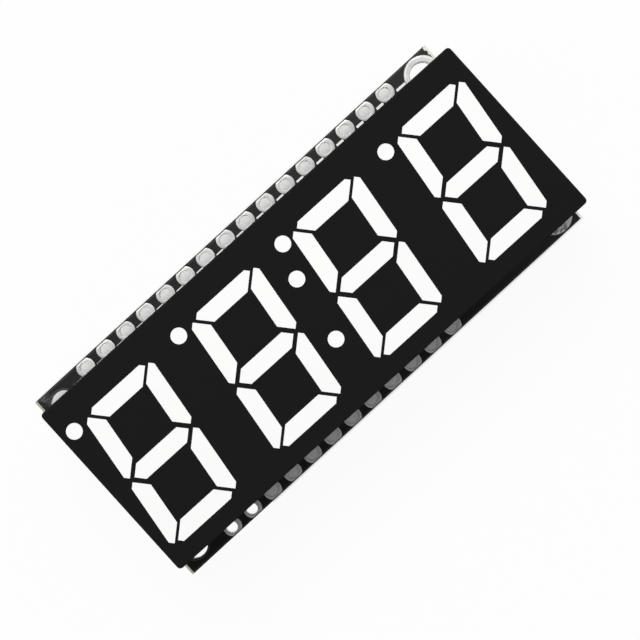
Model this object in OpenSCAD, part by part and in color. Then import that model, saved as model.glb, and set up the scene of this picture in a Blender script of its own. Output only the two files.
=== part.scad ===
// Four-digit seven-segment display module.
// A moulded display block is soldered on top of a driver board, which plugs on two header rows.
// The origin is the centre of the board's rear face. +X is the way the digits read,
// +Y is the top of the digits and +Z is the way they face.

/* [Digits] */
// Height of a digit, along Y
digit_h = 14.65; // [12:0.01:18]
// Width of a digit before it leans
digit_w = 8.28; // [7:0.01:10]
// Lean of the digits, in degrees
digit_lean = 7.5; // [0:0.5:10]
// Width of a segment
segment_w = 1.68; // [1.2:0.01:2.1]
// Gap where two segments meet at a corner
segment_gap = 0.3; // [0.15:0.01:0.5]
// Gap between the middle segment and each upright one
middle_gap = 0.44; // [0.15:0.01:0.6]
// Length cut off the outer corner of a segment
corner_cut = 0.41; // [0.1:0.01:0.7]
// Distance between the first two digits, and between the last two
digit_pitch = 12.9; // [11.6:0.01:16]
// Distance between the second and third digits, where the colon stands
middle_pitch = 12.4; // [11.6:0.01:16]
// Diameter of the decimal points and of the colon's dots
dot_d = 1.53; // [1:0.01:1.8]
// Gap between a digit and its decimal point
point_gap = 0.57; // [0.3:0.01:0.8]
// Distance that the decimal point of each digit hangs below it
point_drop = [0.1, 0.17, 0.31, 0.24]; // [0:0.01:0.5]
// Distance that the second decimal point is set back towards its digit
second_point_shift = 0.29; // [0:0.01:0.3]
// Distance between the colon's dots, along Y
colon_pitch = 6.46; // [4:0.01:8]
// Lean of the colon, in degrees
colon_lean = 9; // [0:0.5:10]
// Place of the colon's middle, from the middle of the four digits
colon_shift = [-0.19, -0.26]; // [-0.3:0.01:0.3]

/* [Display block] */
// Face left beyond the upright outline of the first and last digits
face_margin_x = 1.89; // [1.7:0.01:4]
// Face left above and below the digits, when they are centred
face_margin_y = 2.2; // [1.8:0.01:4]
// Place of the four digits, from the middle of the face
digits_shift = [0.08, 0.46]; // [0:0.01:0.5]
// Height of the display block
block_h = 8; // [6:0.1:12]
// Radius of the block's upright corners
block_corner_r = 0.4; // [0.2:0.05:0.8]
// Width of the bevel round the face
face_bevel = 0.15; // [0.05:0.05:0.3]
// Thickness of the block's side walls
block_wall = 0.8; // [0.6:0.05:1]
// Depth of the pocket in the block's rear
pocket_h = 2; // [1.6:0.1:3]
// Width of a light cavity at its lamp, as a share of its width at the face
cavity_taper = 0.62; // [0.5:0.01:1]
// Side of a lamp chip
lamp_side = 0.3; // [0.2:0.05:0.4]
// Height of a lamp chip
lamp_h = 0.15; // [0.1:0.05:0.3]
// Thickness of the display's own inner board
inner_board_t = 1; // [0.6:0.1:1.2]
// Clearance between the inner board and the pocket's walls
inner_board_fit = 0.15; // [0.05:0.05:0.3]
// Distance that the sealing resin stops short of the block's rear rim
resin_recess = 0.15; // [0.05:0.05:0.3]

/* [Display pins] */
// Pins in each of the two rows
pin_count = 7; // [5:1:7]
// Diameter of a pin
pin_d = 0.5; // [0.4:0.05:0.6]
// Distance from the block's long side to the pin row
pin_inset = 1.905; // [1.7:0.005:2.5]
// Clearance between a pin and its hole in the inner board
pin_fit = 0.05; // [0.02:0.01:0.1]
// Length of pin that stands out of the driver board's rear
pin_tail = 1.5; // [0.8:0.1:2]
// Height of a solder joint on a pin
joint_h = 1; // [0.6:0.1:1.2]

/* [Driver board] */
// Thickness of the board
board_t = 1.6; // [0.8:0.1:2.4]
// Distance between neighbouring header holes
header_pitch = 2.54; // [2:0.01:3.2]
// Holes in the long header row
long_row_count = 16; // [14:1:18]
// Holes in the short header row
short_row_count = 12; // [8:1:14]
// Distance from each display pin row out to the header row beside it
row_step = 2.54; // [2.3:0.01:4]
// Distance from a header row out to the board's long edge
side_margin = 0.79; // [0.7:0.01:2]
// Distance from the long row's end holes to the board's ends
end_margin = 5.8; // [5:0.05:8]
// Width of the bare strip along each end, where the board was snapped off its panel
score_w = 0.25; // [0.1:0.01:0.4]
// Thickness of board left at the bottom of that score
score_web = 0.5; // [0.3:0.1:0.6]
// Offset of the display block from the middle of the board
block_shift = [-0.47, 0.27]; // [-0.6:0.01:0.6]
// Angle that the display block is turned on the board, in degrees
block_turn = -0.43; // [-0.5:0.01:0.5]

/* [Plated holes] */
// Diameter of a header hole
header_hole_d = 1.1; // [0.9:0.05:1.2]
// Diameter of a header pad
header_pad_d = 1.85; // [1.6:0.05:2]
// Diameter of a display pin's hole
pin_hole_d = 0.8; // [0.75:0.05:1]
// Diameter of a display pin's pad
pin_pad_d = 1.5; // [1.3:0.05:1.6]
// Diameter of the two plated mounting holes. All four are drilled wider by the plating.
mounting_hole_d = 2.5; // [2.2:0.05:2.6]
// Diameter of the plated rings round two of them
mounting_ring_d = 3.65; // [3.2:0.05:3.7]
// Distance of the mounting holes from the board's ends
mounting_inset_x = 2; // [1.8:0.05:2.2]
// Distance of the mounting holes from the board's long edges
mounting_inset_y = 1.98; // [1.9:0.01:2.2]
// Thickness of the plating inside a hole
plating_t = 0.05; // [0.03:0.01:0.06]
// Thickness of a pad
pad_t = 0.05; // [0.03:0.01:0.1]
// Bare board left between a pad and the board's long edge
pad_edge_gap = 0.12; // [0.1:0.01:0.3]

/* [Driver chip] */
// Leads on each side of the chip
lead_count = 14; // [8:1:14]
// Distance between neighbouring leads
lead_pitch = 1.27; // [1:0.01:1.27]
// Length of the chip's body
chip_l = 17.9; // [17.6:0.1:18.2]
// Width of the chip's body
chip_w = 7.5; // [7:0.1:7.8]
// Height of the chip over its pads
chip_h = 2.5; // [2:0.05:2.8]
// Gap between the board and the chip's body
chip_standoff = 0.2; // [0.1:0.05:0.3]
// Width across the chip, from the toes of one row of leads to the other
lead_span = 10.3; // [10:0.1:10.6]
// Width of a lead
lead_w = 0.42; // [0.3:0.01:0.5]
// Thickness of a lead
lead_t = 0.25; // [0.2:0.01:0.3]
// Inside radius of a lead's bends
lead_bend_r = 0.2; // [0.1:0.01:0.25]
// Slope of the body's moulded sides, in degrees
mould_draft = 7; // [3:0.5:10]
// Width of the bevel along the side that carries the first lead
chip_bevel = 0.4; // [0.2:0.05:0.5]
// Diameter of the dimple that marks the first lead
dimple_d = 1; // [0.6:0.1:1.2]

/* [Small components] */
// Length, width and height of a capacitor
capacitor_size = [2, 1.25, 0.95]; // [0.6:0.05:2.2]
// Length, width and height of a resistor
resistor_size = [1.6, 0.8, 0.5]; // [0.4:0.05:1.8]
// Length of the metal cap on each end of them
end_cap_l = 0.35; // [0.2:0.05:0.45]
// Wall thickness of that cap
end_cap_t = 0.05; // [0.03:0.01:0.08]
// Distance of the components from the middle of the board, along X
component_x = 12.5; // [11.5:0.1:14]
// Half the distance between two neighbouring components, along Y
component_y = 2; // [1.5:0.1:3]
// Address jumpers on the board's rear
jumper_count = 3; // [1:1:3]
// Distance between two address jumpers
jumper_pitch = 2.4; // [1.8:0.1:3]
// Length and width of one pad of a jumper
jumper_pad = [0.9, 1.2]; // [0.6:0.1:1.4]
// Gap between the two pads of a jumper
jumper_gap = 0.3; // [0.15:0.05:0.5]
// Distance of the jumpers from the middle of the board, along X
jumper_x = 17; // [16:0.1:18]

/* [Hidden] */
// Overshoot of a cut past the face that it opens
cut = 0.1;
$fn = 48;

// Distance between neighbouring pins of the display
pin_pitch = 2.54;
// Distance from a solder joint's foot to the edge of its pad, its height there, and the solder
// left round the pin at its top
joint_edge = 0.13;
joint_rim_h = 0.1;
joint_skin = 0.06;
// Length of a chip's lead inside its body, and from the body to the lead's upright part
lead_tuck = 0.3;
lead_reach = 0.35;
// Straight pieces in each bend of a lead
arc_steps = 5;
// Length and width of a pad past what stands on it
pad_reach = 0.3;
pad_side = 0.2;
// Place and depth of the dimple, from the body's corner
dimple_inset = 1.4;
dimple_depth = 0.1;
// Gap between a resistor's coat and its end caps, for both ends together
coat_gap = 0.1;

block_l = 2 * digit_pitch + middle_pitch + digit_w + 2 * face_margin_x;
block_w = digit_h + 2 * face_margin_y;
block_z = board_t + pad_t;
cavity_h = block_h - pocket_h;
inner_board_z = pocket_h - inner_board_t;
pin_row_spacing = block_w - 2 * pin_inset;
joint_r = pin_pad_d / 2 - joint_edge;
joint_tip_r = pin_d / 2 + joint_skin;

header_row_spacing = pin_row_spacing + 2 * row_step;
board_l = (long_row_count - 1) * header_pitch + 2 * end_margin;
board_w = header_row_spacing + 2 * side_margin;
mounting_x = board_l / 2 - mounting_inset_x;
mounting_y = board_w / 2 - mounting_inset_y;

shoulder_y = chip_w / 2 - lead_tuck;
shoulder_z = (chip_standoff + chip_h - lead_t) / 2;
lead_y = chip_w / 2 + lead_reach;

// X of each digit from the middle of the four, and how far its decimal point is set back
digit_x = [
    -middle_pitch / 2 - digit_pitch,
    -middle_pitch / 2,
    middle_pitch / 2,
    middle_pitch / 2 + digit_pitch
];
point_set_back = [0, second_point_shift, 0, 0];

// ---- Digit outlines ----

// A point of an upright digit, leaned over
function leaned(p) = [p.x + p.y * tan(digit_lean), p.y];

// Outlines of one digit's segments, as a list of upright six-sided polygons.
// Neighbours meet along lines at 45 degrees, so every end is a pair of 45 degree cuts.
function horizontal_outline(y_outer, half_l) =
    let (s = sign(y_outer), y_tip = y_outer - s * corner_cut, y_inner = y_outer - s * segment_w)
    let (rise = segment_w - corner_cut)
    [
        [-half_l, y_tip], [-half_l + corner_cut, y_outer], [half_l - corner_cut, y_outer],
        [half_l, y_tip], [half_l - rise, y_inner], [-half_l + rise, y_inner]
    ];

function upright_outline(side, y_low, y_high) =
    let (x_outer = side * digit_w / 2, x_inner = x_outer - side * segment_w)
    let (x_tip = x_outer - side * corner_cut, rise = segment_w - corner_cut)
    [
        [x_tip, y_low], [x_outer, y_low + corner_cut], [x_outer, y_high - corner_cut],
        [x_tip, y_high], [x_inner, y_high - rise], [x_inner, y_low + rise]
    ];

function middle_outline(half_l) =
    let (half_w = segment_w / 2)
    [
        [-half_l, 0], [-half_l + half_w, half_w], [half_l - half_w, half_w],
        [half_l, 0], [half_l - half_w, -half_w], [-half_l + half_w, -half_w]
    ];

tip_x = digit_w / 2 - corner_cut;
tip_y = digit_h / 2 - corner_cut;
waist_y = segment_gap * sqrt(2) / 2;
outer_half_l = tip_x - segment_gap * sqrt(2);
middle_half_l = tip_x + waist_y - middle_gap * sqrt(2);

segment_outlines = [
    horizontal_outline(digit_h / 2, outer_half_l),
    horizontal_outline(-digit_h / 2, outer_half_l),
    middle_outline(middle_half_l),
    upright_outline(1, waist_y, tip_y),
    upright_outline(-1, waist_y, tip_y),
    upright_outline(1, -tip_y, -waist_y),
    upright_outline(-1, -tip_y, -waist_y)
];

function middle_of(points) =
    [for (axis = [0, 1]) let (along = [for (p = points) p[axis]]) (min(along) + max(along)) / 2];

// ---- Places ----

// Puts what is modelled round the display block's middle in its place on the board
module on_board() {
    translate([block_shift.x, block_shift.y, block_z]) rotate([0, 0, block_turn]) children();
}

// The rear of the board, seen from behind: here Z runs away from the pads' faces
module on_rear() {
    translate([0, 0, -pad_t]) rotate([180, 0, 0]) children();
}

module at_digit(index) {
    translate([digits_shift.x + digit_x[index], digits_shift.y, 0]) children();
}

module at_segments(index) {
    at_digit(index) for (outline = segment_outlines) {
        middle = middle_of([for (p = outline) leaned(p)]);
        translate([middle.x, middle.y, 0]) children();
    }
}

module at_decimal_points() {
    x = digit_w / 2 + point_gap + dot_d / 2;
    for (index = [0:3]) {
        place = leaned([x - point_set_back[index], (dot_d - digit_h) / 2 - point_drop[index]]);
        at_digit(index) translate([place.x, place.y, 0]) children();
    }
}

module at_colon_dots() {
    half = colon_pitch / 2;
    for (side = [-1, 1])
        translate(digits_shift + colon_shift + side * [half * tan(colon_lean), half]) children();
}

// The pins stand in plated holes of the board. The block is turned a little on the board,
// so a pin stands off its hole's middle by less than the room round it.
module at_pins() {
    for (i = [0:pin_count - 1], side = [-1, 1])
        translate([(i - (pin_count - 1) / 2) * pin_pitch, side * pin_row_spacing / 2, 0]) children();
}

module at_pin_holes() {
    translate(block_shift) at_pins() children();
}

// Both header rows start at the same distance from the board's +X end
module at_header_holes(count, side) {
    first_x = (long_row_count - 1) / 2 * header_pitch;
    for (i = [0:count - 1])
        translate([first_x - i * header_pitch, side * header_row_spacing / 2, 0]) children();
}

module at_mounting_holes(end) {
    for (side = [-1, 1]) translate([end * mounting_x, side * mounting_y, 0]) children();
}

// ---- Display block, from its rear rim at Z 0 to its face ----

module block_outline(inset) {
    half = [block_l, block_w] / 2 - [inset, inset];
    r = block_corner_r;
    square([2 * half.x, 2 * (half.y - r)], center = true);
    square([2 * (half.x - r), 2 * half.y], center = true);
    for (x = [-1, 1], y = [-1, 1]) translate([x * (half.x - r), y * (half.y - r)]) circle(r);
}

// The block seen along one of its sides, with the bevel on the two corners at its face
module bevelled_side(width) {
    half = width / 2;
    polygon([
        [-half, 0], [half, 0], [half, block_h - face_bevel], [half - face_bevel, block_h],
        [-half + face_bevel, block_h], [-half, block_h - face_bevel]
    ]);
}

module block_solid() {
    intersection() {
        linear_extrude(block_h) block_outline(0);
        rotate([90, 0, 0]) linear_extrude(block_w + cut, center = true) bevelled_side(block_l);
        rotate([90, 0, 90]) linear_extrude(block_l + cut, center = true) bevelled_side(block_w);
    }
}

// The light cavity of a segment narrows from the face down to its lamp. past_face is how far
// its outline runs on past the face, for a clean cut.
module segment_cavity(outline, past_face) {
    leaning = [for (p = outline) leaned(p)];
    middle = middle_of(leaning);
    centred = [for (p = leaning) p - middle];
    translate([middle.x, middle.y, block_h]) {
        mirror([0, 0, 1]) linear_extrude(cavity_h, scale = cavity_taper) polygon(centred);
        if (past_face > 0) linear_extrude(past_face) polygon(centred);
    }
}

module digit_cavities(index, past_face = 0) {
    at_digit(index) for (outline = segment_outlines) segment_cavity(outline, past_face);
}

module dot_cavity(past_face = 0) {
    translate([0, 0, pocket_h]) cylinder(d1 = dot_d * cavity_taper, d2 = dot_d, h = cavity_h);
    if (past_face > 0) translate([0, 0, block_h]) cylinder(d = dot_d, h = past_face);
}

module lamp_chip() {
    translate([-lamp_side / 2, -lamp_side / 2, pocket_h]) cube([lamp_side, lamp_side, lamp_h]);
}

module display_housing() {
    color([0.1, 0.1, 0.1]) on_board() difference() {
        block_solid();
        translate([0, 0, -cut]) linear_extrude(pocket_h + cut) block_outline(block_wall);
        for (index = [0:3]) digit_cavities(index, cut);
        at_decimal_points() dot_cavity(cut);
        at_colon_dots() dot_cavity(cut);
    }
}

// Each cavity is filled to the face with a clear white casting, round its lamp
module digit_segments(index) {
    color("white") on_board() difference() {
        digit_cavities(index);
        at_segments(index) lamp_chip();
    }
}

module digit_1_segments() { digit_segments(0); }

module digit_2_segments() { digit_segments(1); }

module digit_3_segments() { digit_segments(2); }

module digit_4_segments() { digit_segments(3); }

module filled_dot() {
    difference() {
        dot_cavity();
        lamp_chip();
    }
}

module decimal_points() {
    color("white") on_board() at_decimal_points() filled_dot();
}

module colon_dots() {
    color("white") on_board() at_colon_dots() filled_dot();
}

module lamp_chips() {
    color([0.85, 0.8, 0.55]) on_board() {
        for (index = [0:3]) at_segments(index) lamp_chip();
        at_decimal_points() lamp_chip();
        at_colon_dots() lamp_chip();
    }
}

module inner_board() {
    color([0.75, 0.7, 0.5]) on_board() difference() {
        translate([0, 0, inner_board_z])
            linear_extrude(inner_board_t) block_outline(block_wall + inner_board_fit);
        at_pins() cylinder(d = pin_d + 2 * pin_fit, h = block_h);
    }
}

module sealing_resin() {
    color([0.16, 0.15, 0.14]) on_board() difference() {
        translate([0, 0, resin_recess])
            linear_extrude(inner_board_z - resin_recess) block_outline(block_wall);
        at_pins() cylinder(d = pin_d, h = block_h);
    }
}

// ---- Pins and their solder ----

module pin(past_ends = 0) {
    translate([0, 0, -block_z - pin_tail - past_ends])
        cylinder(d = pin_d, h = pin_tail + block_z + pocket_h + 2 * past_ends);
}

module display_pins() {
    color("silver") on_board() at_pins() pin();
}

// Solder climbs a pin in a hollow curve, from the edge of its pad to joint_h
module joint_profile() {
    across = joint_r - joint_tip_r;
    up = joint_h - joint_rim_h;
    curve_r = (across * across + up * up) / (2 * across);
    difference() {
        square([joint_r, joint_h]);
        translate([joint_tip_r + curve_r, joint_h]) circle(curve_r, $fn = 96);
    }
}

module pin_solder_joints() {
    color([0.75, 0.75, 0.76]) difference() {
        union() {
            at_pin_holes() translate([0, 0, -pad_t]) cylinder(d = pin_hole_d, h = board_t + 2 * pad_t);
            on_board() at_pins() translate([0, 0, -block_z - pad_t])
                mirror([0, 0, 1]) rotate_extrude() joint_profile();
        }
        on_board() at_pins() pin(cut);
    }
}

// ---- Driver board ----

// The ends keep the slopes of the score that the board was snapped along
module board_side() {
    half = board_l / 2;
    slope_h = (board_t - score_web) / 2;
    polygon([
        [-half, slope_h], [-half + score_w, 0], [half - score_w, 0], [half, slope_h],
        [half, board_t - slope_h], [half - score_w, board_t], [-half + score_w, board_t],
        [-half, board_t - slope_h]
    ]);
}

module board_hole(diameter) {
    translate([0, 0, -cut]) cylinder(d = diameter, h = board_t + 2 * cut);
}

module circuit_board() {
    color([0.12, 0.12, 0.12]) difference() {
        rotate([90, 0, 0]) linear_extrude(board_w, center = true) board_side();
        at_header_holes(long_row_count, -1) board_hole(header_hole_d + 2 * plating_t);
        at_header_holes(short_row_count, 1) board_hole(header_hole_d + 2 * plating_t);
        at_pin_holes() board_hole(pin_hole_d + 2 * plating_t);
        for (end = [-1, 1]) at_mounting_holes(end) board_hole(mounting_hole_d + 2 * plating_t);
    }
}

// A plated hole: a pad on each face, in the outline of the children, and the wall between them
module plated_hole(diameter) {
    difference() {
        union() {
            for (z = [-pad_t, board_t]) translate([0, 0, z]) linear_extrude(pad_t) children();
            translate([0, 0, -pad_t]) cylinder(d = diameter + 2 * plating_t, h = board_t + 2 * pad_t);
        }
        translate([0, 0, -pad_t - cut]) cylinder(d = diameter, h = board_t + 2 * (pad_t + cut));
    }
}

// Header pads are cut straight beside the board's long edge
module header_pad(side) {
    flat = side_margin - pad_edge_gap;
    intersection() {
        circle(d = header_pad_d);
        translate([0, side * (flat - header_pad_d / 2)]) square(header_pad_d, center = true);
    }
}

module long_row_pads() {
    color([0.8, 0.8, 0.82]) at_header_holes(long_row_count, -1) plated_hole(header_hole_d) header_pad(-1);
}

module short_row_pads() {
    color([0.8, 0.8, 0.82]) at_header_holes(short_row_count, 1) plated_hole(header_hole_d) header_pad(1);
}

// The rings stop at the score along the board's end
module mounting_rings() {
    clear_end = mounting_inset_x - score_w;
    color([0.8, 0.8, 0.82]) at_mounting_holes(-1) plated_hole(mounting_hole_d) intersection() {
        circle(d = mounting_ring_d);
        translate([mounting_ring_d / 2 - clear_end, 0]) square(mounting_ring_d, center = true);
    }
}

module pin_hole_pads() {
    color([0.8, 0.8, 0.82]) at_pin_holes() plated_hole(pin_hole_d) circle(d = pin_pad_d);
}

// ---- Driver chip, from its pads at Z 0 to its top ----

module at_chip() {
    translate([0, block_shift.y, 0]) on_rear() children();
}

module at_leads() {
    for (i = [0:lead_count - 1], side = [0, 1])
        translate([(i - (lead_count - 1) / 2) * lead_pitch, 0, 0]) mirror([0, side, 0]) children();
}

// Points of an arc, from one angle to another
function arc(centre, r, from, to) =
    [for (i = [0:arc_steps]) let (a = from + (to - from) * i / arc_steps) centre + r * [cos(a), sin(a)]];

// A lead's bent strip in the YZ plane: its shoulder leaves the body, bends down and turns out
// again as a foot on the pad
lead_outline = concat(
    arc([lead_y + lead_t + lead_bend_r, lead_t + lead_bend_r], lead_bend_r + lead_t, 270, 180),
    arc([lead_y - lead_bend_r, shoulder_z - lead_bend_r], lead_bend_r, 0, 90),
    [[shoulder_y, shoulder_z], [shoulder_y, shoulder_z + lead_t]],
    arc([lead_y - lead_bend_r, shoulder_z - lead_bend_r], lead_bend_r + lead_t, 90, 0),
    arc([lead_y + lead_t + lead_bend_r, lead_t + lead_bend_r], lead_bend_r, 180, 270),
    [[lead_span / 2, lead_t], [lead_span / 2, 0]]
);

module driver_chip_leads() {
    color("silver") at_chip() at_leads()
        rotate([90, 0, 90]) linear_extrude(lead_w, center = true) polygon(lead_outline);
}

// The moulded body is widest where its leads come out and slopes in above and below them
module moulded_side(width, bevel) {
    half = width / 2;
    half_h = (chip_h - chip_standoff) / 2;
    inset = half_h * tan(mould_draft);
    middle_z = chip_standoff + half_h;
    polygon(concat(
        [[-half, middle_z], [-half + inset, chip_standoff], [half - inset, chip_standoff], [half, middle_z]],
        [[half - inset, chip_h], [-half + inset + bevel, chip_h]],
        bevel > 0 ? [[-half + inset * (1 - bevel / half_h), chip_h - bevel]] : []
    ));
}

module driver_chip_body() {
    color([0.13, 0.13, 0.14]) at_chip() difference() {
        intersection() {
            rotate([90, 0, 0]) linear_extrude(chip_w + cut, center = true) moulded_side(chip_l, 0);
            rotate([90, 0, 90]) linear_extrude(chip_l + cut, center = true) moulded_side(chip_w, chip_bevel);
        }
        at_leads() translate([-lead_w / 2, shoulder_y, shoulder_z]) cube([lead_w, lead_tuck + cut, lead_t]);
        translate([-chip_l / 2 + dimple_inset, -chip_w / 2 + dimple_inset, chip_h - dimple_depth])
            cylinder(d = dimple_d, h = dimple_depth + cut);
    }
}

// A bare pad on the board's rear, up to the Z 0 of on_rear
module rear_pad(size) {
    translate([0, 0, -pad_t]) linear_extrude(pad_t) square(size, center = true);
}

module driver_chip_pads() {
    inner_y = lead_y - pad_reach;
    outer_y = lead_span / 2 + pad_reach;
    color([0.8, 0.8, 0.82]) at_chip() at_leads()
        translate([0, (inner_y + outer_y) / 2, 0]) rear_pad([lead_w + pad_side, outer_y - inner_y]);
}

// ---- Small components on the board's rear ----

module at_components(end) {
    translate([end * component_x, block_shift.y, 0]) for (side = [-1, 1])
        translate([0, side * component_y, 0]) on_rear() children();
}

// The body of a component, between and inside its end caps
module component_body(size) {
    inner = size - 2 * [end_cap_t, end_cap_t, end_cap_t];
    translate([-inner.x / 2, -inner.y / 2, end_cap_t]) cube(inner);
}

module end_caps(size) {
    difference() {
        for (end = [-1, 1]) translate([end * (size.x - end_cap_l) / 2, 0, size.z / 2])
            cube([end_cap_l, size.y, size.z], center = true);
        component_body(size);
    }
}

module capacitor_bodies() {
    color([0.62, 0.48, 0.36]) at_components(-1) component_body(capacitor_size);
}

module capacitor_end_caps() {
    color("silver") at_components(-1) end_caps(capacitor_size);
}

module resistor_bodies() {
    color([0.9, 0.9, 0.88]) at_components(1) component_body(resistor_size);
}

module resistor_end_caps() {
    color("silver") at_components(1) end_caps(resistor_size);
}

// The glassy coat over a resistor, level with its end caps
module resistor_coats() {
    coat = [resistor_size.x - 2 * end_cap_l - coat_gap, resistor_size.y - 2 * end_cap_t, end_cap_t];
    color([0.08, 0.08, 0.08]) at_components(1)
        translate([0, 0, resistor_size.z - end_cap_t / 2]) cube(coat, center = true);
}

module end_pads(size) {
    pad_l = end_cap_l + pad_reach;
    for (end = [-1, 1])
        translate([end * (size.x - end_cap_l + pad_reach) / 2, 0, 0]) rear_pad([pad_l, size.y]);
}

module component_pads() {
    color([0.8, 0.8, 0.82]) {
        at_components(-1) end_pads(capacitor_size);
        at_components(1) end_pads(resistor_size);
    }
}

module address_jumper_pads() {
    color([0.8, 0.8, 0.82]) for (i = [0:jumper_count - 1], side = [-1, 1])
        translate([
            jumper_x + side * (jumper_pad.x + jumper_gap) / 2,
            block_shift.y + (i - (jumper_count - 1) / 2) * jumper_pitch,
            0
        ]) on_rear() rear_pad(jumper_pad);
}

circuit_board();
long_row_pads();
short_row_pads();
mounting_rings();
pin_hole_pads();
display_housing();
digit_1_segments();
digit_2_segments();
digit_3_segments();
digit_4_segments();
decimal_points();
colon_dots();
lamp_chips();
inner_board();
sealing_resin();
display_pins();
pin_solder_joints();
driver_chip_body();
driver_chip_leads();
driver_chip_pads();
capacitor_bodies();
capacitor_end_caps();
resistor_bodies();
resistor_coats();
resistor_end_caps();
component_pads();
address_jumper_pads();
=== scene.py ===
# %% [markdown]
# # A four-digit display module
#
# The real object is a small black board with rows of tinned holes along both long edges. A moulded
# black block with four white digits is soldered on top of it, and the chip that drives the digits
# sits behind. The solid parts come from the CAD model. This lesson gives each of them its finish,
# replaces the plated holes with finer ones, and adds the things that a solid model leaves out:
# print, copper tracks under the lacquer and solder fillets round the leads.

# %% Load the model
import math

import bpy
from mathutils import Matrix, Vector


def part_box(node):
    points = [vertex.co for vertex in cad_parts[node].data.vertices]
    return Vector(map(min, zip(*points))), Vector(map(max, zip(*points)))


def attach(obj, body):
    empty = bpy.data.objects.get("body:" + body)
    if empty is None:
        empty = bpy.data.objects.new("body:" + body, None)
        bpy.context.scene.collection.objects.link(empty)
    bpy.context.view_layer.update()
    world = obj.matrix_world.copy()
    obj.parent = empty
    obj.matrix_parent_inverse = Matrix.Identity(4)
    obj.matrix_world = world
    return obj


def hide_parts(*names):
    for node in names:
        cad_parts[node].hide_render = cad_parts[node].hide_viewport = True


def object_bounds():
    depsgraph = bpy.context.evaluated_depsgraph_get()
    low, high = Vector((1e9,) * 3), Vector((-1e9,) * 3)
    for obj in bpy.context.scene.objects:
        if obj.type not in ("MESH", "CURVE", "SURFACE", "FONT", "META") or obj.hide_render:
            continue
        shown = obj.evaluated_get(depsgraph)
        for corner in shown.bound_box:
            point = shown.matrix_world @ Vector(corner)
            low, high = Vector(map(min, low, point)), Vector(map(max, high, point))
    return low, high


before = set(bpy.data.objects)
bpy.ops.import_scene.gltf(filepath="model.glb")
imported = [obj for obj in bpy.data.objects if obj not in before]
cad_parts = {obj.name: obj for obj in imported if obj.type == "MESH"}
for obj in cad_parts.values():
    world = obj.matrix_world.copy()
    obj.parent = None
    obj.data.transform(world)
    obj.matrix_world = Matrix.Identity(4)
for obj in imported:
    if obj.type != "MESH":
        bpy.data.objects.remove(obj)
cad_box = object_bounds()
MM = 0.001
scene = bpy.context.scene
scene.view_settings.view_transform = "Standard"


def in_mm(lengths):
    return [round(value / MM, 2) for value in lengths]


print("CAD nodes:", len(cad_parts), "size", in_mm(cad_box[1] - cad_box[0]), "mm")

# %% [markdown]
# ## A little arithmetic for nodes
#
# Materials and Geometry Nodes are both made of sockets that are linked together. Placing every
# Math node by hand hides the formula, so one small class wraps a socket and lets Python's own
# operators add the nodes. `1 - mask` then reads as it does on paper. Everything that isn't
# arithmetic comes from one method, `add`, which sets a node's options first and its sockets next.


# %% Sockets that can be added and multiplied
def operator(operation, swapped=False):
    """A method that adds the Math node of one of Python's operators."""

    def method(self, other):
        values = (other, self) if swapped else (self, other)
        return self.math(operation, *values)

    return method


class Wire:
    """An output socket. An operation on it adds a Math node and gives that node's output."""

    __add__ = __radd__ = operator("ADD")
    __mul__ = __rmul__ = operator("MULTIPLY")
    __sub__ = operator("SUBTRACT")
    __rsub__ = operator("SUBTRACT", swapped=True)
    __truediv__ = operator("DIVIDE")
    __rtruediv__ = operator("DIVIDE", swapped=True)
    __pow__ = operator("POWER")
    __rpow__ = operator("POWER", swapped=True)
    __mod__ = operator("FLOORED_MODULO")
    __rmod__ = operator("FLOORED_MODULO", swapped=True)
    __gt__ = operator("GREATER_THAN")
    __lt__ = operator("LESS_THAN")
    least = operator("MINIMUM")
    most = operator("MAXIMUM")

    def __init__(self, nodes, socket):
        self.nodes = nodes
        self.socket = socket

    def __abs__(self):
        return self.math("ABSOLUTE")

    def math(self, operation, *values):
        """A Math node on the values, or on this socket alone."""
        sockets = dict(enumerate(values or (self,)))
        return self.nodes.add("ShaderNodeMath", {"operation": operation}, sockets)

    def rise(self, start, end):
        """0 up to start and 1 from end on, with a smooth step between them."""
        return self.nodes.add(
            "ShaderNodeMapRange",
            {"interpolation_type": "SMOOTHSTEP"},
            {"Value": self, "From Min": start, "From Max": end},
        )


def length(a, b):
    """The length of the flat vector (a, b)."""
    return (a * a + b * b) ** 0.5


# %% Every other node
class Nodes:
    """The nodes of one tree."""

    def __init__(self, tree):
        self.tree = tree

    def add(self, kind, settings=None, sockets=None, output=0):
        node = self.tree.nodes.new(kind)
        for name, value in (settings or {}).items():
            setattr(node, name, value)
        self.fill(node, sockets or {})
        return Wire(self, node.outputs[output]) if node.outputs else node

    def fill(self, node, sockets):
        for name, value in sockets.items():
            for part in value if isinstance(value, list) else [value]:
                if isinstance(part, Wire):
                    self.tree.links.new(part.socket, node.inputs[name])
                else:
                    node.inputs[name].default_value = part

    def split(self, vector):
        parts = self.add("ShaderNodeSeparateXYZ", sockets={0: vector})
        return [Wire(self, socket) for socket in parts.socket.node.outputs]

    def join(self, x, y, z):
        return self.add("ShaderNodeCombineXYZ", sockets={0: x, 1: y, 2: z})

    def upright(self, z):
        return self.join(0.0, 0.0, z)

    def scaled(self, vector, factor):
        return self.add(
            "ShaderNodeVectorMath", {"operation": "SCALE"}, {0: vector, "Scale": factor}
        )

    def moved(self, shape, **how):
        """A shape with a Translation, a Rotation or a Scale."""
        return self.add("GeometryNodeTransform", sockets={"Geometry": shape, **how})

    def mixed(self, share, first, second):
        """A colour that goes from first to second as share goes from 0 to 1."""
        return self.add(
            "ShaderNodeMix", {"data_type": "RGBA"}, {0: share, 6: first, 7: second}, output=2
        )


# %% [markdown]
# ## Camera
#
# The module is seen from straight above, with a long lens. The digits' tops point down and to the
# left here, so the camera is turned about its own axis and not the module.

# %% Camera
CAMERA_HEIGHT = 292.7 * MM
CAMERA_TURN = 137.45
LENS = 174.5
AIM_X = -0.141 * MM
AIM_Y = 1.423 * MM

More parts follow.
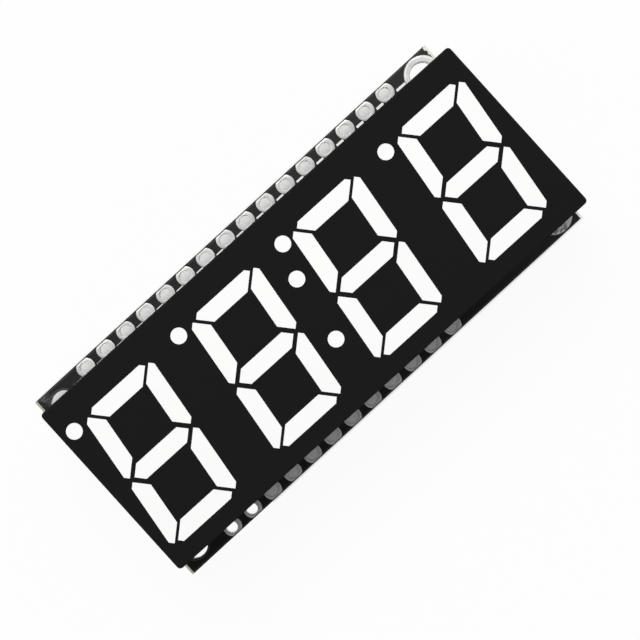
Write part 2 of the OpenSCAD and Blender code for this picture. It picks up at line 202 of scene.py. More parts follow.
camera_data = bpy.data.cameras.new("camera")
camera_data.lens = LENS
camera = bpy.data.objects.new("camera", camera_data)
camera.location = (AIM_X, AIM_Y, CAMERA_HEIGHT)
camera.rotation_euler = (0, 0, math.radians(CAMERA_TURN))
scene.collection.objects.link(camera)
scene.camera = camera
print("camera turned by", CAMERA_TURN, "degrees, lens", LENS, "mm")

# %% [markdown]
# ## Light
#
# A black face and bright metal are both pictures of what they reflect. The studio here is a pale
# room with a dark ceiling: a flat face that looks up stays black, while walls and edges still find
# something bright. One large softbox stands over the side where the decimal points are, and the
# walls on that side are the brighter ones. The strip of board on the other side of the block is
# left in soft shade.

# %% Studio
CEILING = 0.3
BRIGHT_WALL = 1.0
DIM_WALL = 0.62
WALL_TOP = 0.35
CEILING_START = 0.75
LIGHT_AZIMUTH = -104


def white(amount):
    return (amount, amount, amount, 1)


def light_room():
    world = bpy.data.worlds.new("studio")
    scene.world = world
    world.use_nodes = True
    air = Nodes(world.node_tree)
    x, y, up = air.split(air.add("ShaderNodeTexCoord", output="Generated"))
    azimuth = math.radians(LIGHT_AZIMUTH)
    towards_light = (x * math.cos(azimuth) + y * math.sin(azimuth)).rise(-1.0, 1.0)
    wall = air.mixed(towards_light, white(DIM_WALL), white(BRIGHT_WALL))
    colour = air.mixed(up.rise(WALL_TOP, CEILING_START), wall, white(CEILING))
    background = world.node_tree.nodes["Background"]
    air.fill(background, {"Color": colour})
    print("studio:", len(world.node_tree.nodes), "nodes")


light_room()


# %% Softbox
LIGHT_ELEVATION = 58


def add_softbox(name, azimuth, elevation, distance, side, power):
    """A square lamp that looks at the module from one side and above."""
    data = bpy.data.lights.new(name, "AREA")
    data.shape = "SQUARE"
    data.size = side
    data.energy = power
    lamp = bpy.data.objects.new(name, data)
    a, e = math.radians(azimuth), math.radians(elevation)
    direction = Vector((math.cos(a) * math.cos(e), math.sin(a) * math.cos(e), math.sin(e)))
    lamp.location = direction * distance
    lamp.rotation_euler = direction.to_track_quat("Z", "Y").to_euler()
    scene.collection.objects.link(lamp)


add_softbox("softbox", LIGHT_AZIMUTH, LIGHT_ELEVATION, distance=0.9, side=0.6, power=5.75)
print("softbox at", LIGHT_ELEVATION, "degrees above the floor")

# %% [markdown]
# ## Floor
#
# The floor is plain and pale. The module lies on its driver chip, so the floor sits at the lowest
# point of the model. Away from the module the floor looks brighter than its shade, but only to
# the camera's own rays and to those that a mirror or something clear passes on, so it lights
# nothing. Under the module it keeps all of its shade, which is what most of the open holes show.
# Under two opposite corners of the board the floor glows for these rays too, as painted light that
# takes the shade away there.

# %% Finish of the floor
FLOOR_SHADE = 0.84
FLOOR_GLOW = 0.94
BOARD_SHADE_END = (-0.1 * MM, 0.4 * MM)
FAR_CORNER = (25.2 * MM, 26.2 * MM)
NEAR_CORNER = (29.9 * MM, 30.5 * MM)
board_low, board_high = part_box("circuit_board")


def floor_finish():
    material = bpy.data.materials.new("floor")
    material.use_nodes = True
    nodes = Nodes(material.node_tree)
    x, y, _ = nodes.split(nodes.add("ShaderNodeTexCoord", output="Object"))
    outside = (abs(x) - board_high.x).most(abs(y) - board_high.y)
    diagonal = x + y
    # Painted light: under two opposite corners of the board the floor glows for the camera's rays,
    # which removes the shade there.
    corner_glow = diagonal.rise(*FAR_CORNER).most((0 - diagonal).rise(*NEAR_CORNER))
    clear = outside.rise(*BOARD_SHADE_END).most(corner_glow)
    seen = nodes.add("ShaderNodeLightPath", output="Is Camera Ray")
    mirrored = nodes.add("ShaderNodeLightPath", output="Is Glossy Ray")
    through = nodes.add("ShaderNodeLightPath", output="Is Transmission Ray")
    shader = material.node_tree.nodes["Principled BSDF"]
    nodes.fill(
        shader, {"Base Color": white(FLOOR_SHADE), "Roughness": 0.9, "Specular IOR Level": 0.0}
    )
    glow = nodes.add("ShaderNodeEmission", sockets={"Color": white(1.0), "Strength": 1.0})
    share = clear * seen.most(mirrored).most(through) * FLOOR_GLOW
    body = Wire(nodes, shader.outputs["BSDF"])
    mixed = nodes.add("ShaderNodeMixShader", sockets={0: share, 1: body, 2: glow})
    nodes.fill(material.node_tree.nodes["Material Output"], {"Surface": mixed})
    return material


# %% Floor
FLOOR_SIDE = 4.0
rest_height = cad_box[0].z


def lay_floor():
    half = FLOOR_SIDE / 2
    mesh = bpy.data.meshes.new("floor")
    corners = [(x * half, y * half, rest_height) for x, y in ((-1, -1), (1, -1), (1, 1), (-1, 1))]
    mesh.from_pydata(corners, [], [(0, 1, 2, 3)])
    mesh.materials.append(floor_finish())
    floor = bpy.data.objects.new("floor", mesh)
    scene.collection.objects.link(floor)


lay_floor()
print("floor at", *in_mm([rest_height]), "mm")

# %% [markdown]
# ## Finishes
#
# Each finish is a Principled shader. What is the same all over a surface is set on the shader, and
# what changes over it is linked. Patterns read the Object coordinates, turned into millimetres, so
# a number in a pattern is a real size.


# %% Colours
def tint(red, green, blue):
    """The linear colour of one that is shown as red, green and blue, from 0 to 255."""
    shares = [value / 255 for value in (red, green, blue)]
    linear = [s / 12.92 if s < 0.04045 else ((s + 0.055) / 1.055) ** 2.4 for s in shares]
    return (*linear, 1)


def grey(level):
    return tint(level, level, level)


# %% How a finish starts and ends
LOOK_SOCKETS = {
    "colour": "Base Color",
    "roughness": "Roughness",
    "metallic": "Metallic",
    "coat": "Coat Weight",
    "specular": "Specular IOR Level",
}


class Finish(Nodes):
    """A material that is being made. Its place is in millimetres."""

    def __init__(self, name):
        self.material = bpy.data.materials.new(name)
        self.material.use_nodes = True
        super().__init__(self.material.node_tree)
        self.shader = self.tree.nodes["Principled BSDF"]
        self.place = self.scaled(self.add("ShaderNodeTexCoord", output="Object"), 1 / MM)
        self.x, self.y, self.z = self.split(self.place)

    def noise(self, per_mm, detail=2.0, stretch=(1, 1, 1)):
        """Smooth noise from 0 to 1, with about per_mm patches to a millimetre."""
        vector = self.add(
            "ShaderNodeVectorMath", {"operation": "MULTIPLY"}, {0: self.place, 1: stretch}
        )
        sockets = {"Vector": vector, "Scale": per_mm, "Detail": detail}
        return self.add("ShaderNodeTexNoise", sockets=sockets)

    def done(self, relief=None, **looks):
        """Fills the shader's sockets. relief is a height in millimetres."""
        self.fill(self.shader, {LOOK_SOCKETS[name]: value for name, value in looks.items()})
        if relief is not None:
            bump = self.add("ShaderNodeBump", sockets={"Height": relief, "Distance": MM})
            self.fill(self.shader, {"Normal": bump})
        print(f"finish {self.material.name}: {len(self.tree.nodes)} nodes")
        return self.material


# %% How solid parts get it
def paint(material, *names):
    """Gives CAD nodes their finish."""
    for name in names:
        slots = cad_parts[name].data.materials
        slots.clear()
        slots.append(material)


# %% [markdown]
# ## Black plastic and white castings
#
# The block is moulded in matte black, with a fine grain on its face and a coarser one on its
# sides, which are painted a little lighter than the face as a painted sheen. Its cavities are
# filled with white resin, which is a little uneven and slightly glossy.


# %% Black plastic
BEVEL = 0.2


def housing_finish():
    f = Finish("moulded_black")
    block_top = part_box("display_housing")[1].z / MM
    face = f.z.rise(block_top - BEVEL, block_top - 0.02)
    grain = f.noise(12, detail=3)
    pits = f.noise(5, detail=4)
    relief = face * grain * 0.002 + (1 - face) * pits * 0.03
    front = f.mixed(grain, grey(17), grey(21))
    # Painted sheen: the sides are painted lighter than the face.
    side = f.mixed(pits, grey(20), grey(31))
    return f.done(
        colour=f.mixed(face, side, front),
        roughness=0.45 + face * 0.1 + grain * 0.15,
        relief=relief,
        specular=0.08,
    )


paint(housing_finish(), "display_housing")


# %% White resin
def casting_finish():
    f = Finish("cast_white")
    cloud = f.noise(0.5)
    fine = f.noise(9, detail=3)
    return f.done(
        colour=f.mixed(cloud, tint(254, 254, 253), tint(250, 251, 250)),
        roughness=0.32 + fine * 0.1,
        relief=fine * 0.0015,
    )


castings = ["decimal_points", "colon_dots"] + [f"digit_{i}_segments" for i in range(1, 5)]
paint(casting_finish(), *castings)
print("castings:", castings)

# %% [markdown]
# ## Board
#
# The board is glass-fibre laminate under a black lacquer. The lacquer lies on its two faces only,
# so the height of a point tells where it is. The slopes that the board was snapped along and the
# plain holes show pale laminate, the web between the slopes shows torn fibres, and the long edges
# show the plies. Round each tinned hole the lacquer stops a little outside the pad. One finish
# covers the whole board, because all of this follows from where a point is. Some of its colour is
# painted light: the lacquer is painted lighter towards -X and at the -X, +Y corner, a painted
# highlight runs along the long edges, and the laminate is painted whiter towards +Y and inside the
# plain holes.

# %% Rows of holes
HEADER_PITCH = 2.54 * MM
HEADER_PAD = 1.85 * MM
HEADER_HOLE = 1.1 * MM
RING = 3.65 * MM
MOUNTING_HOLE = 2.5 * MM
board_top = board_high.z


def count_columns(low, high, width, pitch):
    """How many shapes of a width lie in a box at a pitch along X."""
    return round((high.x - low.x - width) / pitch) + 1


class Row:
    """A row of round pads of a CAD node, read back from the node's box. shift is how far the
    copper lies off the holes along X, and etched is what the etching took off its diameter."""

    def __init__(self, node, pad, pitch, outward, shift=0.0, etched=0.0):
        low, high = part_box(node)
        self.node = node
        self.copper = pad - etched
        self.shift = shift
        self.pitch = pitch
        self.outward = outward
        self.first_x = low.x + pad / 2
        self.count = count_columns(low, high, pad, pitch)
        inner = high.y if outward < 0 else low.y
        self.y = inner + outward * pad / 2
        self.cut = (high.y if outward > 0 else -low.y) - abs(self.y)

    def hole_x(self, number):
        return self.first_x + number * self.pitch


long_row = Row("long_row_pads", HEADER_PAD, HEADER_PITCH, -1, etched=0.04 * MM)
short_row = Row("short_row_pads", HEADER_PAD, HEADER_PITCH, 1, -0.05 * MM, etched=0.06 * MM)
for row in (long_row, short_row):
    print(row.node, row.count, "holes", in_mm((row.first_x, row.y)))


# %% Where things are on the board
SCORE = 0.25
WEB = 0.5
MASK_EDGE = 0.02


def near_row(f, row, radius):
    """1 within radius of a hole of the row, in millimetres, and 0 outside."""
    pitch = row.pitch / MM
    from_first = f.x - (row.first_x + row.shift) / MM
    along = (from_first + pitch / 2) % pitch - pitch / 2
    distance = length(along, f.y - row.y / MM)
    inside = (from_first > -pitch / 2) * (from_first < (row.count - 0.5) * pitch)
    return inside * (1 - distance.rise(radius - MASK_EDGE, radius + MASK_EDGE))


def at_side(place, side):
    """1 on the face that looks outwards at side, in metres."""
    return abs(place).rise(side / MM - 2 * MASK_EDGE, side / MM - MASK_EDGE)


def band(value, start, full, fading, end):
    """Rises to 1 between start and full, and falls back to 0 between fading and end."""
    return value.rise(start, full) * (1 - value.rise(fading, end))


ring_low, ring_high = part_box("mounting_rings")
ring_place = (RING / 2 - ring_high.x, ring_high.y - RING / 2)
print("rings", in_mm(ring_place), "mm from the middle")


# %% Bare laminate
BORE = 1.33


def laminate_colour(f, fibre, torn, broken, from_ring):
    """Cut laminate: pale at the -X end, grey at the +X end, with plies along the long edges. It is
    painted whiter towards +Y and near white inside the plain holes, painted light against the
    shade there.
    """
    pale_end = f.mixed(fibre, tint(230, 228, 214), tint(250, 249, 240))
    # Painted light: whiter towards +Y, against the shade on that side.
    pale_end = f.mixed(f.y.rise(-6, 6), pale_end, tint(255, 255, 253))
    grey_end = f.mixed(fibre, tint(176, 174, 160), tint(208, 207, 194))
    laminate = f.mixed(f.x.rise(-20, 20), pale_end, grey_end)
    plies = f.noise(1.5, detail=3, stretch=(0.5, 0.5, 6)).rise(0.3, 0.7)
    routed = f.mixed(plies, tint(172, 165, 136), tint(214, 209, 186))
    laminate = f.mixed(at_side(f.y, board_high.y), laminate, routed)
    frayed = f.mixed(torn, tint(186, 180, 154), tint(230, 227, 210))
    laminate = f.mixed(broken, laminate, frayed)
    # Painted light: the walls of the plain holes are painted near white, against the shade inside
    # them.
    bore_painted_light = 1 - from_ring.rise(BORE, BORE + 2 * MASK_EDGE)
    return f.mixed(bore_painted_light, laminate, tint(253, 252, 248))


# %% Black lacquer
EDGE_HIGHLIGHT = (0.08, 0.11, 0.16, 0.2)
EDGE_HIGHLIGHT_GAP = 1.1
HOLE_LINE = (1.39, 1.42, 1.47, 1.5)


def lacquer_colour(f, smear, from_ring, plated_end):
    """Painted lighter towards -X and at the -X, +Y corner, as painted light and shade. A painted
    highlight runs along the long edges where the copper under the lacquer stops, and pale lines
    run round the plain holes.
    """
    edge = board_high.y / MM - abs(f.y)
    # Painted highlight: a pale line along each long edge, where the copper under the lacquer
    # stops.
    edge_highlight = band(edge, *EDGE_HIGHLIGHT) * (1 - near_row(f, long_row, EDGE_HIGHLIGHT_GAP)) * 0.7
    lines = edge_highlight.most((1 - plated_end) * band(from_ring, *HOLE_LINE))
    # Painted light and shade: lighter at the -X end and darker at the +X end.
    painted_lit_end = f.mixed(smear, grey(24), grey(31))
    thin_ink_and_shaded_lacquer = f.mixed(smear, grey(9), grey(15))
    plain = f.mixed(f.x.rise(-24, 24), painted_lit_end, thin_ink_and_shaded_lacquer)
    # Painted light: the lacquer is painted lighter at the -X, +Y corner, against the shade there.
    painted_light_corner = (1 - f.x.rise(-24.5, -10)) * f.y.rise(-2, 2)
    plain = f.mixed(painted_light_corner, plain, grey(50))
    handled = f.x.rise(22.7, 24.0) * (1 - f.y.rise(-10.45, -9.9))
    smudge = handled * f.noise(1.7, detail=3, stretch=(1, 3, 1)).rise(0.4, 0.6)
    return f.mixed(lines, f.mixed(smudge, plain, tint(84, 84, 88)), grey(74))


# %% Finish of the board
LONG_OPENING = 0.92
SHORT_OPENING = 0.905
RING_OPENING = 1.885


def board_finish():
    f = Finish("lacquered_board")
    half = board_top / MM / 2
    from_middle = abs(f.z - half)
    on_face = from_middle.rise(half - 0.012, half - 0.004)
    chips = f.noise(1.9, detail=3).rise(0.48, 0.66) * (0.14 - f.x.rise(-20, 20) * 0.12)
    to_score = board_high.x / MM - SCORE - abs(f.x)
    lacquered = on_face * to_score.rise(chips - 0.02, chips + 0.03)
    from_ring = length(abs(f.x) - ring_place[0] / MM, abs(f.y) - ring_place[1] / MM)
    plated_end = f.x < 0
    rings = plated_end * (1 - from_ring.rise(RING_OPENING - MASK_EDGE, RING_OPENING + MASK_EDGE))
    opening = near_row(f, long_row, LONG_OPENING).most(near_row(f, short_row, SHORT_OPENING))
    black = lacquered * (1 - opening.most(rings))
    fibre = f.noise(6, detail=4, stretch=(1, 0.25, 3))
    torn = f.noise(5, detail=4, stretch=(1, 1, 0.6)).rise(0.35, 0.65)
    broken = at_side(f.x, board_high.x) * (1 - from_middle.rise(WEB / 2 - MASK_EDGE, WEB / 2))
    cut = laminate_colour(f, fibre, torn, broken, from_ring)
    bare_face = f.mixed(fibre, tint(104, 100, 88), tint(132, 128, 114))
    laminate = f.mixed(lacquered, cut, bare_face)
    smear = f.noise(0.45, detail=3)
    orange_peel = f.noise(1.6, detail=2)
    relief = black * (orange_peel * 0.01 + 0.02) + (1 - black) * fibre * 0.02
    return f.done(
        colour=f.mixed(black, laminate, lacquer_colour(f, smear, from_ring, plated_end)),
        roughness=0.75 - black * (0.42 - smear * 0.15),
        relief=relief + broken * torn * 0.04,
        specular=0.27,
    )


paint(board_finish(), "circuit_board")
print("lacquer on", board_top / MM, "mm of laminate")

# %% [markdown]
# ## Tin, solder and wire
#
# The holes and pads are copper that was dipped in tin and blown level with hot air. That leaves a
# soft, slightly lumpy metal with duller patches. Solder is the same metal, but it froze from a
# round drop, so it is smoother, and a little amber flux stays at its foot. Pins and leads are
# tinned wire and strip, which show their yellower core where they were cut.


# %% Tin
LONG_SHOULDER_SHADE = (0.65, 0.73)
SHORT_SHOULDER_SHADE = (0.63, 0.71)


def tin_finish():
    """Tin on pads. At the -X, +Y corner it is aged and mottled, and painted white and matte there
    as a painted sheen in the shade. The linings of the holes are painted paler as painted light,
    and a darker ring painted round each hole is painted shade at its shoulder.
    """
    f = Finish("levelled_tin")
    patches = f.noise(0.9, detail=4)
    lumps = f.noise(2.6, detail=2)
    dust = f.noise(14, detail=3)
    dull = patches.rise(0.42, 0.68)
    aged_and_painted_sheen = (1 - f.x.rise(-20, -18)) * f.y.rise(-1, 1)
    mottle = aged_and_painted_sheen * f.noise(2.4, detail=4).rise(0.46, 0.56) * f.x.rise(-23.6, -22.9)
    half = board_top / MM / 2
    # Painted light: the linings of the holes are painted paler, against the shade inside them.
    lining_painted_light = 1 - abs(f.z - half).rise(half - 0.1, half - 0.01)
    colour = f.mixed(dull, tint(220, 220, 219), tint(208, 208, 206))
    # Painted sheen: the aged tin at the -X, +Y corner is painted white, against the shade there.
    colour = f.mixed(aged_and_painted_sheen, colour, tint(255, 255, 255))
    colour = f.mixed(mottle, colour, tint(162, 162, 160))
    # Painted shade: a darker ring round each hole, at its shoulder.
    shoulder_shade = 0.0
    for row, inner, outer in ((long_row, *LONG_SHOULDER_SHADE), (short_row, *SHORT_SHOULDER_SHADE)):
        shoulder_shade = shoulder_shade + near_row(f, row, outer) - near_row(f, row, inner)
    colour = f.mixed(shoulder_shade * 0.32, colour, tint(150, 150, 148))
    return f.done(
        colour=f.mixed(lining_painted_light, colour, tint(252, 252, 250)),
        roughness=0.4 + dull * 0.08 + dust * 0.06,
        relief=lumps * 0.004 + dust * 0.0012,
        metallic=(0.42 - dull * 0.1) * (1 - aged_and_painted_sheen) * (1 - lining_painted_light * 0.85),
    )


levelled_tin = tin_finish()
paint(levelled_tin, "long_row_pads", "short_row_pads", "mounting_rings", "pin_hole_pads")
paint(levelled_tin, "driver_chip_pads", "component_pads", "address_jumper_pads")
paint(levelled_tin, "capacitor_end_caps", "resistor_end_caps")


# %% Solder
def solder_finish():
    f = Finish("frozen_solder")
    flow = f.noise(1.7, detail=2)
    frost = f.noise(16, detail=4)
    board_rear = board_low.z / MM
    foot = f.z.rise(board_rear - 0.16, board_rear - 0.03)
    flux = foot * f.noise(3.2, detail=3).rise(0.42, 0.62)
    metal = f.mixed(flow, tint(214, 214, 214), tint(190, 191, 193))
    return f.done(
        colour=f.mixed(flux * 0.7, metal, tint(150, 112, 52)),
        roughness=0.16 + frost * 0.16 + flow * 0.08,
        relief=flow * 0.03 + frost * 0.001,
        metallic=1 - flux * 0.5,
    )


solder = solder_finish()
paint(solder, "pin_solder_joints")


# %% Wire and strip
def wire_finish(name, cut_end):
    """Tinned wire or strip. cut_end(finish) is 1 where the bare core of a cut end shows."""
    f = Finish(name)
    cloud = f.noise(1.4, detail=3)
    drawn = f.noise(9, detail=2, stretch=(4, 4, 0.3))
    core = cut_end(f)
    tinned = f.mixed(cloud, tint(216, 216, 214), tint(196, 196, 196))
    return f.done(
        colour=f.mixed(core, tinned, tint(206, 158, 96)),
        roughness=0.22 + drawn * 0.16 + core * 0.14,
        relief=drawn * 0.003 + core * f.noise(24) * 0.006,
        metallic=0.92 + cloud * 0.08,
    )


def pin_end(f):
    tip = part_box("display_pins")[0].z / MM
    return 1 - f.z.rise(tip + 0.01, tip + 0.04)


def lead_toe(f):
    chip_low, chip_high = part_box("driver_chip_leads")
    middle = (chip_low.y + chip_high.y) / 2 / MM
    reach = (chip_high.y - chip_low.y) / 2 / MM
    return abs(f.y - middle).rise(reach - 0.03, reach - 0.01)


paint(wire_finish("tinned_pin", pin_end), "display_pins")
paint(wire_finish("tinned_lead", lead_toe), "driver_chip_leads")

# %% [markdown]
# ## Chip and small components
#
# The driver chip is pressed from black epoxy full of glass dust, which gives it a fine grain. The
# two halves of the mould meet at the height of the leads, and an ejector pin left a shallow disc
# on its flat top. Capacitors are tan ceramic with darker specks. Resistors are white ceramic under
# a glassy black coat.


# %% Finish of the chip
EJECTOR_PLACE = 6.1
EJECTOR_RADIUS = 1.1


def chip_finish():
    f = Finish("epoxy_moulding")
    low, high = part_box("driver_chip_body")
    middle_y = (low.y + high.y) / 2 / MM
    part_line = (low.z + high.z) / 2 / MM
    grain = f.noise(16, detail=4)
    worn = f.noise(0.6, detail=2)
    line = 1 - abs(f.z - part_line).rise(0.015, 0.05)
    from_ejector = length(f.x - EJECTOR_PLACE, f.y - middle_y)
    on_top = 1 - f.z.rise(low.z / MM + 0.02, low.z / MM + 0.06)
    disc = on_top * (1 - from_ejector.rise(EJECTOR_RADIUS - 0.05, EJECTOR_RADIUS + 0.05))
    colour = f.mixed(grain, grey(29), grey(42))
    return f.done(
        colour=f.mixed((disc * 0.5).most(line), colour, grey(50)),
        roughness=0.5 + worn * 0.12 - disc * 0.12,
        relief=grain * 0.012 * (1 - disc * 0.7) - disc * 0.03 + line * 0.02,
        specular=0.35,
    )


paint(chip_finish(), "driver_chip_body")


# %% Ceramic
def ceramic_finish(name, pale, dark, speck, grain_height):
    """A fired ceramic with darker specks."""
    f = Finish(name)
    cloud = f.noise(2.2, detail=3)
    specks = f.noise(13, detail=3).rise(0.6, 0.7)
    body = f.mixed(cloud, pale, dark)
    return f.done(
        colour=f.mixed(specks * 0.6, body, speck),
        roughness=0.42 + cloud * 0.2,
        relief=f.noise(18, detail=2) * grain_height,
    )


tans = tint(172, 134, 98), tint(150, 113, 80), tint(96, 70, 50)
paint(ceramic_finish("tan_ceramic", *tans, 0.006), "capacitor_bodies")
whites = grey(232), grey(218), grey(186)
paint(ceramic_finish("white_ceramic", *whites, 0.004), "resistor_bodies")


# %% Black glaze
def glaze_finish():
    f = Finish("black_glaze")
    flow = f.noise(1.8, detail=2)
    edge = f.noise(7, detail=3)
    return f.done(
        colour=f.mixed(edge, grey(15), grey(28)),
        roughness=0.14 + edge * 0.12,
        relief=flow * 0.012,
        coat=0.4 + flow * 0.4,
    )


paint(glaze_finish(), "resistor_coats")

# %% [markdown]
# ## Inside the block
#
# The block's own small board is pale laminate whose woven glass shows through, and it is sealed
# with dark resin that froze with a few bubbles. Each lamp is a speck of clear yellow crystal with
# a gold contact under it.


# %% Laminate inside the block
WEAVE_PITCH = 0.45


def inner_board_finish():
    f = Finish("bare_laminate")
    turns = math.tau / WEAVE_PITCH
    weave = (f.x * turns).math("SINE") * (f.y * turns).math("SINE") * 0.5 + 0.5
    fibre = f.noise(5, detail=4)
    shade = weave * 0.6 + fibre * 0.4
    return f.done(
        colour=f.mixed(shade, tint(214, 203, 158), tint(188, 172, 120)),
        roughness=0.4 + fibre * 0.25,
        relief=weave * 0.01,
    )


paint(inner_board_finish(), "inner_board")


# %% Sealing resin
def resin_finish():
    f = Finish("poured_resin")
    flow = f.noise(0.35, detail=2)
    cells = f.add("ShaderNodeTexVoronoi", sockets={"Vector": f.place, "Scale": 0.9})
    bubbles = 1 - cells.rise(0.1, 0.16)
    resin = f.mixed(flow, tint(70, 66, 60), tint(92, 86, 76))
    return f.done(
        colour=f.mixed(bubbles, resin, grey(44)),
        roughness=0.16 + flow * 0.14,
        relief=flow * 0.08 - bubbles * 0.05,
    )


paint(resin_finish(), "sealing_resin")


# %% Lamps
def lamp_finish():
    f = Finish("lamp_crystal")
    low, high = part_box("lamp_chips")
    height = f.z.rise(low.z / MM, high.z / MM)
    return f.done(
        colour=f.mixed(height, tint(212, 170, 86), tint(226, 220, 164)),
        roughness=0.12 + f.noise(20) * 0.12,
        metallic=1 - height.rise(0.1, 0.3),
    )


paint(lamp_finish(), "lamp_chips")

# %% [markdown]
# ## Growing what repeats
#
# Holes, print, solder and tracks all repeat, so each is grown by a Geometry Nodes tree that has
# its sizes as named inputs. The tree runs once. Its result is kept as a plain mesh and the
# modifier goes away, so that the model can leave Blender without it.


# %% How a tree starts and ends
def floats(*names):
    return dict.fromkeys(names, "Float")


def open_tree(name, inputs):
    """A new tree. Gives its nodes and its named inputs."""
    tree = bpy.data.node_groups.new(name, "GeometryNodeTree")
    tree.interface.new_socket("Geometry", in_out="OUTPUT", socket_type="NodeSocketGeometry")
    for title, kind in {**inputs, "Material": "Material"}.items():
        tree.interface.new_socket(title, in_out="INPUT", socket_type="NodeSocket" + kind)
    nodes = Nodes(tree)
    start = nodes.add("NodeGroupInput").socket.node
    return nodes, {socket.name: Wire(nodes, socket) for socket in start.outputs if socket.name}


def close_tree(nodes, geometry, sizes):
    real = nodes.add("GeometryNodeRealizeInstances", sockets={"Geometry": geometry})
    painted = nodes.add(
        "GeometryNodeSetMaterial", sockets={"Geometry": real, "Material": sizes["Material"]}
    )
    nodes.add("NodeGroupOutput", sockets={"Geometry": painted})
    print(f"tree {nodes.tree.name}: {len(nodes.tree.nodes)} nodes")
    return nodes.tree


# %% How a tree is run
def grow(name, tree, sizes, replaced=(), start=None):
    """Runs a tree, on the mesh start if it needs one. Its result is kept as a plain piece."""
    piece = bpy.data.objects.new(name, start or bpy.data.meshes.new(name))
    scene.collection.objects.link(piece)
    modifier = piece.modifiers.new("grow", "NODES")
    modifier.node_group = tree
    for socket in tree.interface.items_tree:
        if socket.in_out == "INPUT" and socket.name in sizes:
            modifier[socket.identifier] = sizes[socket.name]
    depsgraph = bpy.context.evaluated_depsgraph_get()
    mesh = bpy.data.meshes.new_from_object(piece.evaluated_get(depsgraph), depsgraph=depsgraph)
    piece.modifiers.clear()
    piece.data = mesh
    mesh.name = name
    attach(piece, "root")
    if replaced:
        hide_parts(*replaced)
    heights = [vertex.co.z / MM for vertex in mesh.vertices]
    print(f"{name}: {len(mesh.polygons)} faces, Z {min(heights):.3f} to {max(heights):.3f} mm")
    return piece


# %% Places in rows
ROW_INPUTS = {
    "Columns": "Int",
    "Pitch": "Float",
    "Column Drop": "Float",
    "Rows": "Int",
    "Row Step": "Float",
    "First": "Vector",
}


def in_rows(first, columns=1, pitch=0.0, rows=1, row_step=0.0, drop=0.0):
    """What these inputs are for some shapes in rows. first is the place of the first shape."""
    return dict(zip(ROW_INPUTS, (columns, pitch, drop, rows, row_step, first)))


def lay_rows(nodes, sizes, shape, turn_second=0.0):
    """Copies a shape along rows. Every copy after the first row can be turned about Z."""
    columns = nodes.add("GeometryNodeMeshLine", {"mode": "OFFSET"}, {
        "Count": sizes["Columns"],
        "Offset": nodes.join(sizes["Pitch"], 0 - sizes["Column Drop"], 0.0),
    })
    rows = nodes.add("GeometryNodeMeshLine", {"mode": "OFFSET"}, {
        "Count": sizes["Rows"],
        "Start Location": sizes["First"],
        "Offset": nodes.join(0.0, sizes["Row Step"], 0.0),
    })
    lines = {"Points": rows, "Instance": columns}
    laid = nodes.add("GeometryNodeInstanceOnPoints", sockets=lines)
    spots = nodes.add("GeometryNodeRealizeInstances", sockets={"Geometry": laid})
    later = nodes.add("GeometryNodeInputIndex") > sizes["Columns"] - 0.5
    return nodes.add("GeometryNodeInstanceOnPoints", sockets={
        "Points": spots,
        "Instance": shape,
        "Rotation": nodes.upright(later * turn_second),
    })


# %% [markdown]
# ## Plated holes
#
# On the real board each hole is lined with copper that spreads into a pad on both faces. The tin
# on a pad is flat and falls away in a slope at its rim, and that slope is what catches the light.
# The drill never quite meets the middle of a pad, so a hole sits a little off it. To get all this,
# a flat grid is bent into a ring: one side of the grid runs round the hole, and the other runs
# round the ring's section.


# %% A grid that is bent into a ring
AROUND = 48
SECTION = 20
SAME_PLACE = 0.0001 * MM


def weld(nodes, shape):
    """Joins points that lie on each other, which closes a seam."""
    return nodes.add(
        "GeometryNodeMergeByDistance", sockets={"Geometry": shape, "Distance": SAME_PLACE}
    )


def bend_ring(nodes, shape):
    """A closed ring round Z. shape(cosine, sine, t) gives a point of it, as x, y and z."""
    grid = nodes.add("GeometryNodeMeshGrid", sockets={
        "Size X": 1.0,
        "Size Y": 1.0,
        "Vertices X": AROUND + 1,
        "Vertices Y": SECTION + 1,
    })
    x, y, _ = nodes.split(nodes.add("GeometryNodeInputPosition"))
    turn = (x + 0.5) * math.tau
    place = nodes.join(*shape(turn.math("COSINE"), turn.math("SINE"), y + 0.5))
    bent = nodes.add("GeometryNodeSetPosition", sockets={"Geometry": grid, "Position": place})
    return weld(nodes, bent)


# %% The lining of a hole
LINER_ROUNDING = 0.15
NEXT_TO_NOTHING = 1e-5


def bend_liner(nodes, inner, thickness, half_height, shift):
    """A thin tube with a rounded section.

    The sine of a full turn comes out a little off nought, and rounding would open the seam there.
    """

    def rounded(value):
        size = (abs(value) - NEXT_TO_NOTHING).most(0.0)
        return value.math("SIGN") * size ** LINER_ROUNDING

    def shape(cosine, sine, t):
        around = t * math.tau
        radius = inner + thickness * (rounded(around.math("COSINE")) + 1) * 0.5
        level = rounded(around.math("SINE")) * half_height
        return radius * cosine + shift, radius * sine, level

    return bend_ring(nodes, shape)


# %% The pad round a hole
RIM_SLOPE = 0.14 * MM
LIP_SLOPE = 0.008 * MM
NO_REACH = 1e-4


def bend_pad(nodes, inner, height, reach, hole_shift, pad_shift):
    """A flat ring with sloping rims. reach(cosine, sine) is its radius in that direction."""

    def shape(cosine, sine, t):
        share = abs(t * 2 - 1)
        share = share * share * (3 - share * 2)
        outer = reach(cosine, sine)
        radius = inner + (outer - inner) * share
        rim = ((outer - radius) / RIM_SLOPE).least((radius - inner) / LIP_SLOPE).least(1.0)
        upper_side = t < 0.5
        x = radius * cosine + hole_shift + share * (pad_shift - hole_shift)
        return x, radius * sine, rim * upper_side * height

    return bend_ring(nodes, shape)


